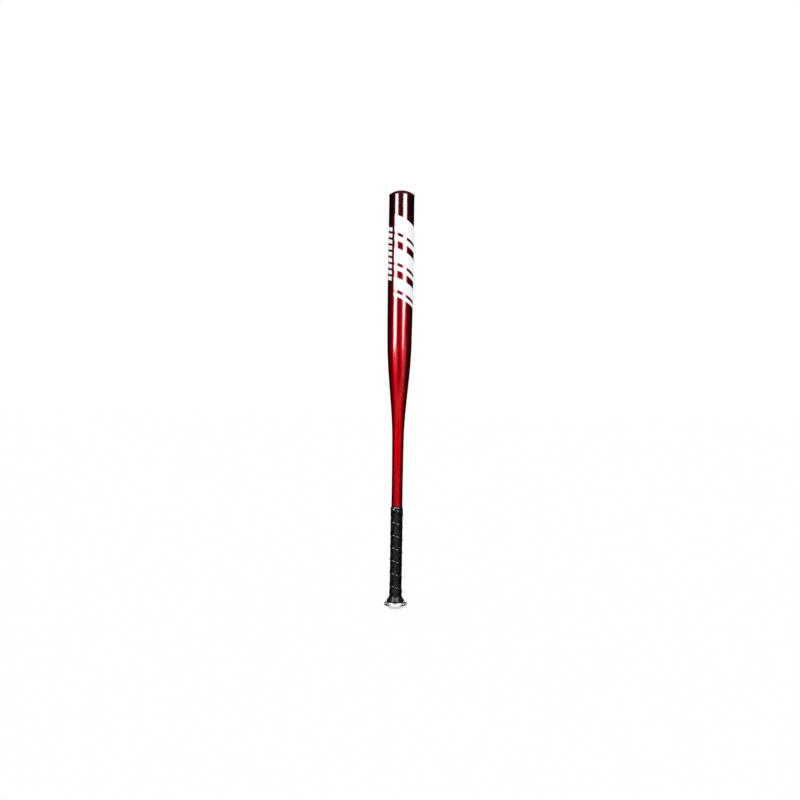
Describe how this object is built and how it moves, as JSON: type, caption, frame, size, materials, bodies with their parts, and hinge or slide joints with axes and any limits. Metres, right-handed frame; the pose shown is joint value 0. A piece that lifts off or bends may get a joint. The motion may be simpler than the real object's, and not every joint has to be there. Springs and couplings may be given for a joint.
{
  "type": "baseball bat",
  "caption": "Aluminium baseball bat with a round barrel, a long taper to a thin handle with a wound grip, a rubber taper cone, a round metal knob and a domed end cap.",
  "frame": {"origin": "centre of the knob's flat base", "axes": "+Z along the bat from the knob to the barrel end; -Y is the side that the white bars start on, and the bars run round towards +X"},
  "size_m": [0.0531, 0.0531, 0.864],
  "materials": {
    "candy_red_paint": "gloss",
    "cap_red_paint": "gloss",
    "deadening_foam": "matte",
    "bare_aluminium": "satin",
    "weld_metal": "satin",
    "plug_rubber": "matte",
    "cone_rubber": "gloss",
    "adhesive_tape": "matte",
    "grip_leather": "satin",
    "vinyl_tape": "gloss",
    "white_ink": "gloss"
  },
  "bodies": {
    "root": {"bat_shell": "candy_red_paint", "end_cap": "cap_red_paint", "barrel_foam_plug": "deadening_foam", "knob": "bare_aluminium", "knob_weld_bead": "weld_metal", "knob_plug": "plug_rubber", "knob_taper_cone": "cone_rubber", "grip_adhesive_tape": "adhesive_tape", "grip_wrap": "grip_leather", "grip_finishing_tape": "vinyl_tape", "main_transfer": "white_ink", "side_transfer": "white_ink"}
  },
  "joints": []
}
